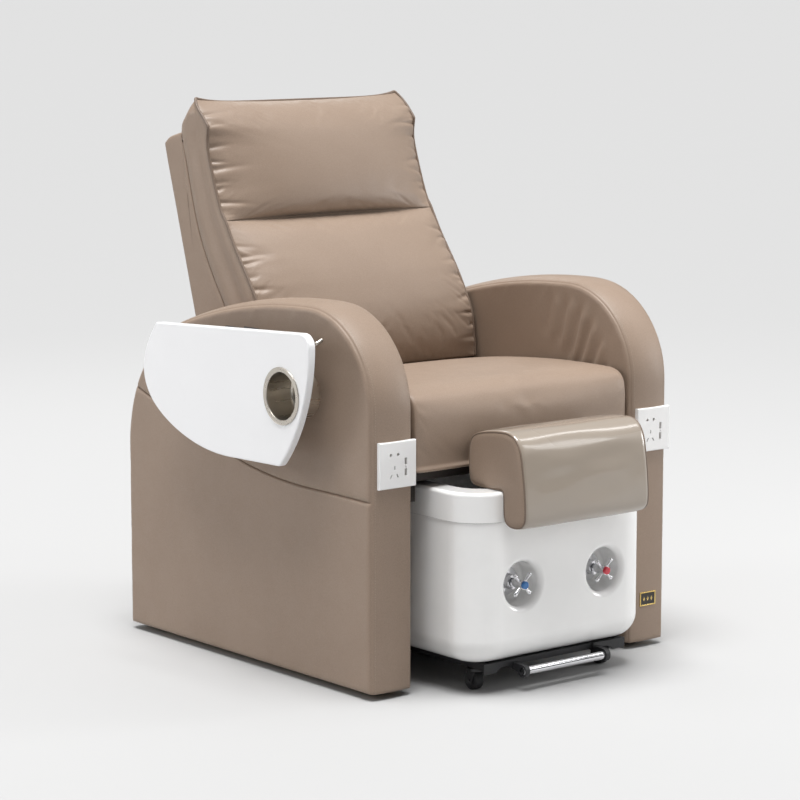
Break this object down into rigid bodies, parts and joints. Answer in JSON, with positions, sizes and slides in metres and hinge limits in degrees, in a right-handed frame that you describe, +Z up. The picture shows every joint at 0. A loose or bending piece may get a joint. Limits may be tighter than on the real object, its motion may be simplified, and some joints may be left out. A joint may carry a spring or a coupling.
{
  "type": "pedicure spa chair",
  "caption": "Padded reclining salon armchair with a wheeled pull-out foot basin, taps, foot rest pad, folding side tray with cup holder and arm sockets.",
  "frame": {"origin": "on the floor below the middle of the chair between its arms", "axes": "+Z up, -Y the way the chair faces, +X to the sitter's left"},
  "size_m": [0.8387, 0.9813, 1.0677],
  "materials": {
    "black_plastic": "black moulding",
    "black_rubber": "black rubber",
    "black_steel": "black powder coat",
    "blue_cap": "blue cap",
    "chrome": "bright chrome",
    "gold_plate": "gilt edge, dark field",
    "grey_pipe": "plastic pipe",
    "grey_plastic": "grey moulding",
    "pillow_cover": "satin taupe coated leathercloth, soft filling",
    "plywood": "plain birch plywood",
    "red_cap": "red cap",
    "stainless": "brushed stainless",
    "upholstery": "satin taupe coated leathercloth with stitched seams",
    "white_board": "white lacquered board",
    "white_gloss": "white sanitary gloss",
    "white_plastic": "white satin moulding"
  },
  "bodies": {
    "chair_base": {"arm_frames": "plywood", "arm_cover_right": "upholstery", "arm_cover_left": "upholstery", "arm_glides": "black_plastic", "seat_deck": "plywood", "seat_rails": "plywood", "rear_rails": "plywood", "rear_panel": "upholstery", "seat_cushion": "upholstery", "socket_plate_right": "white_plastic", "socket_plate_left": "white_plastic", "socket_modules": "grey_plastic", "badge_plate": "gold_plate", "pivot_brackets": "black_steel", "pivot_pins": "chrome", "tray_brackets": "stainless", "tray_hinge_rod": "stainless", "actuator_bracket": "black_steel", "power_box": "black_plastic", "mains_inlet": "black_plastic", "switch_housing": "black_plastic"},
    "button_up": {"recline_button_up": "grey_plastic"},
    "button_down": {"recline_button_down": "grey_plastic"},
    "tray": {"tray_board": "white_board", "tray_cup": "stainless", "tray_hinge_leaves": "stainless"},
    "backrest": {"back_shell": "upholstery", "back_frame": "black_steel", "back_cushion": "upholstery", "head_pillow": "pillow_cover", "lumbar_pillow": "pillow_cover"},
    "actuator_body": {"actuator_housing": "grey_plastic"},
    "actuator_ram": {"actuator_rod": "chrome"},
    "basin_trolley": {"basin_shell": "white_gloss", "basin_rim": "white_gloss", "basin_bowl": "white_gloss", "drain_strainer": "chrome", "drain_pipe": "grey_pipe", "valve_bodies": "chrome", "basin_spout": "chrome", "water_pipes": "grey_pipe", "trolley_frame": "black_steel", "pull_bar": "chrome", "levelling_feet": "chrome", "caster_mounts": "black_steel"},
    "plug": {"drain_plug": "black_rubber"},
    "tap_cold": {"tap_handle_cold": "chrome", "tap_cap_cold": "blue_cap"},
    "tap_hot": {"tap_handle_hot": "chrome", "tap_cap_hot": "red_cap"},
    "footrest": {"footrest_pad": "upholstery", "footrest_board": "black_plastic"},
    "fork_front_right": {"caster_fork_front_right": "black_plastic"},
    "wheel_front_right": {"caster_wheel_front_right": "black_rubber"},
    "fork_front_left": {"caster_fork_front_left": "black_plastic"},
    "wheel_front_left": {"caster_wheel_front_left": "black_rubber"},
    "fork_rear_right": {"caster_fork_rear_right": "black_plastic"},
    "wheel_rear_right": {"caster_wheel_rear_right": "black_rubber"},
    "fork_rear_left": {"caster_fork_rear_left": "black_plastic"},
    "wheel_rear_left": {"caster_wheel_rear_left": "black_rubber"}
  },
  "joints": [
    {"name": "backrest_recline", "type": "hinge", "parent": "chair_base", "child": "backrest", "pos_m": [0, 0.2, 0.48], "axis": [-1, 0, 0], "range_deg": [0, 35]},
    {"name": "actuator_swing", "type": "hinge", "parent": "chair_base", "child": "actuator_body", "pos_m": [0, 0.3, 0.09], "axis": [1, 0, 0], "range_deg": [-0.063, 0.01]},
    {"name": "actuator_extend", "type": "slide", "parent": "actuator_body", "child": "actuator_ram", "axis": [0, -0.4064, 0.9137], "range_m": [0, 0.0423]},
    {"name": "tray_hinge", "type": "hinge", "parent": "chair_base", "child": "tray", "pos_m": [-0.41, 0, 0.652], "axis": [0, 1, 0], "range_deg": [0, 90]},
    {"name": "button_up_press", "type": "slide", "parent": "chair_base", "child": "button_up", "axis": [-1, 0, 0], "range_m": [0, 0.0025], "stiffness_N_per_m": 400},
    {"name": "button_down_press", "type": "slide", "parent": "chair_base", "child": "button_down", "axis": [-1, 0, 0], "range_m": [0, 0.0025], "stiffness_N_per_m": 400},
    {"name": "basin_slide", "type": "slide", "parent": "chair_base", "child": "basin_trolley", "axis": [0, -1, 0], "range_m": [0, 0.35]},
    {"name": "footrest_lift", "type": "slide", "parent": "basin_trolley", "child": "footrest", "axis": [0, 0, 1], "range_m": [0, 0.15]},
    {"name": "plug_lift", "type": "slide", "parent": "basin_trolley", "child": "plug", "axis": [0, 0, 1], "range_m": [0, 0.03]},
    {"name": "cold_tap_turn", "type": "hinge", "parent": "basin_trolley", "child": "tap_cold", "pos_m": [-0.103, -0.48, 0.202], "axis": [0, -1, 0], "range_deg": [0, 90]},
    {"name": "hot_tap_turn", "type": "hinge", "parent": "basin_trolley", "child": "tap_hot", "pos_m": [0.103, -0.48, 0.202], "axis": [0, -1, 0], "range_deg": [0, 90]},
    {"name": "swivel_front_right", "type": "hinge", "parent": "basin_trolley", "child": "fork_front_right", "pos_m": [-0.16, -0.44, 0.04], "axis": [0, 0, 1], "continuous": true},
    {"name": "spin_front_right", "type": "hinge", "parent": "fork_front_right", "child": "wheel_front_right", "pos_m": [-0.16, -0.432, 0.018], "axis": [1, 0, 0], "continuous": true},
    {"name": "swivel_front_left", "type": "hinge", "parent": "basin_trolley", "child": "fork_front_left", "pos_m": [0.16, -0.44, 0.04], "axis": [0, 0, 1], "continuous": true},
    {"name": "spin_front_left", "type": "hinge", "parent": "fork_front_left", "child": "wheel_front_left", "pos_m": [0.16, -0.432, 0.018], "axis": [1, 0, 0], "continuous": true},
    {"name": "swivel_rear_right", "type": "hinge", "parent": "basin_trolley", "child": "fork_rear_right", "pos_m": [-0.16, -0.12, 0.04], "axis": [0, 0, 1], "continuous": true},
    {"name": "spin_rear_right", "type": "hinge", "parent": "fork_rear_right", "child": "wheel_rear_right", "pos_m": [-0.16, -0.112, 0.018], "axis": [1, 0, 0], "continuous": true},
    {"name": "swivel_rear_left", "type": "hinge", "parent": "basin_trolley", "child": "fork_rear_left", "pos_m": [0.16, -0.12, 0.04], "axis": [0, 0, 1], "continuous": true},
    {"name": "spin_rear_left", "type": "hinge", "parent": "fork_rear_left", "child": "wheel_rear_left", "pos_m": [0.16, -0.112, 0.018], "axis": [1, 0, 0], "continuous": true}
  ],
  "couplings": [
    {"joint": "actuator_swing", "follows": "backrest_recline", "ratio": -0.0015},
    {"joint": "actuator_extend", "follows": "backrest_recline", "m_per_rad": 0.06909}
  ]
}
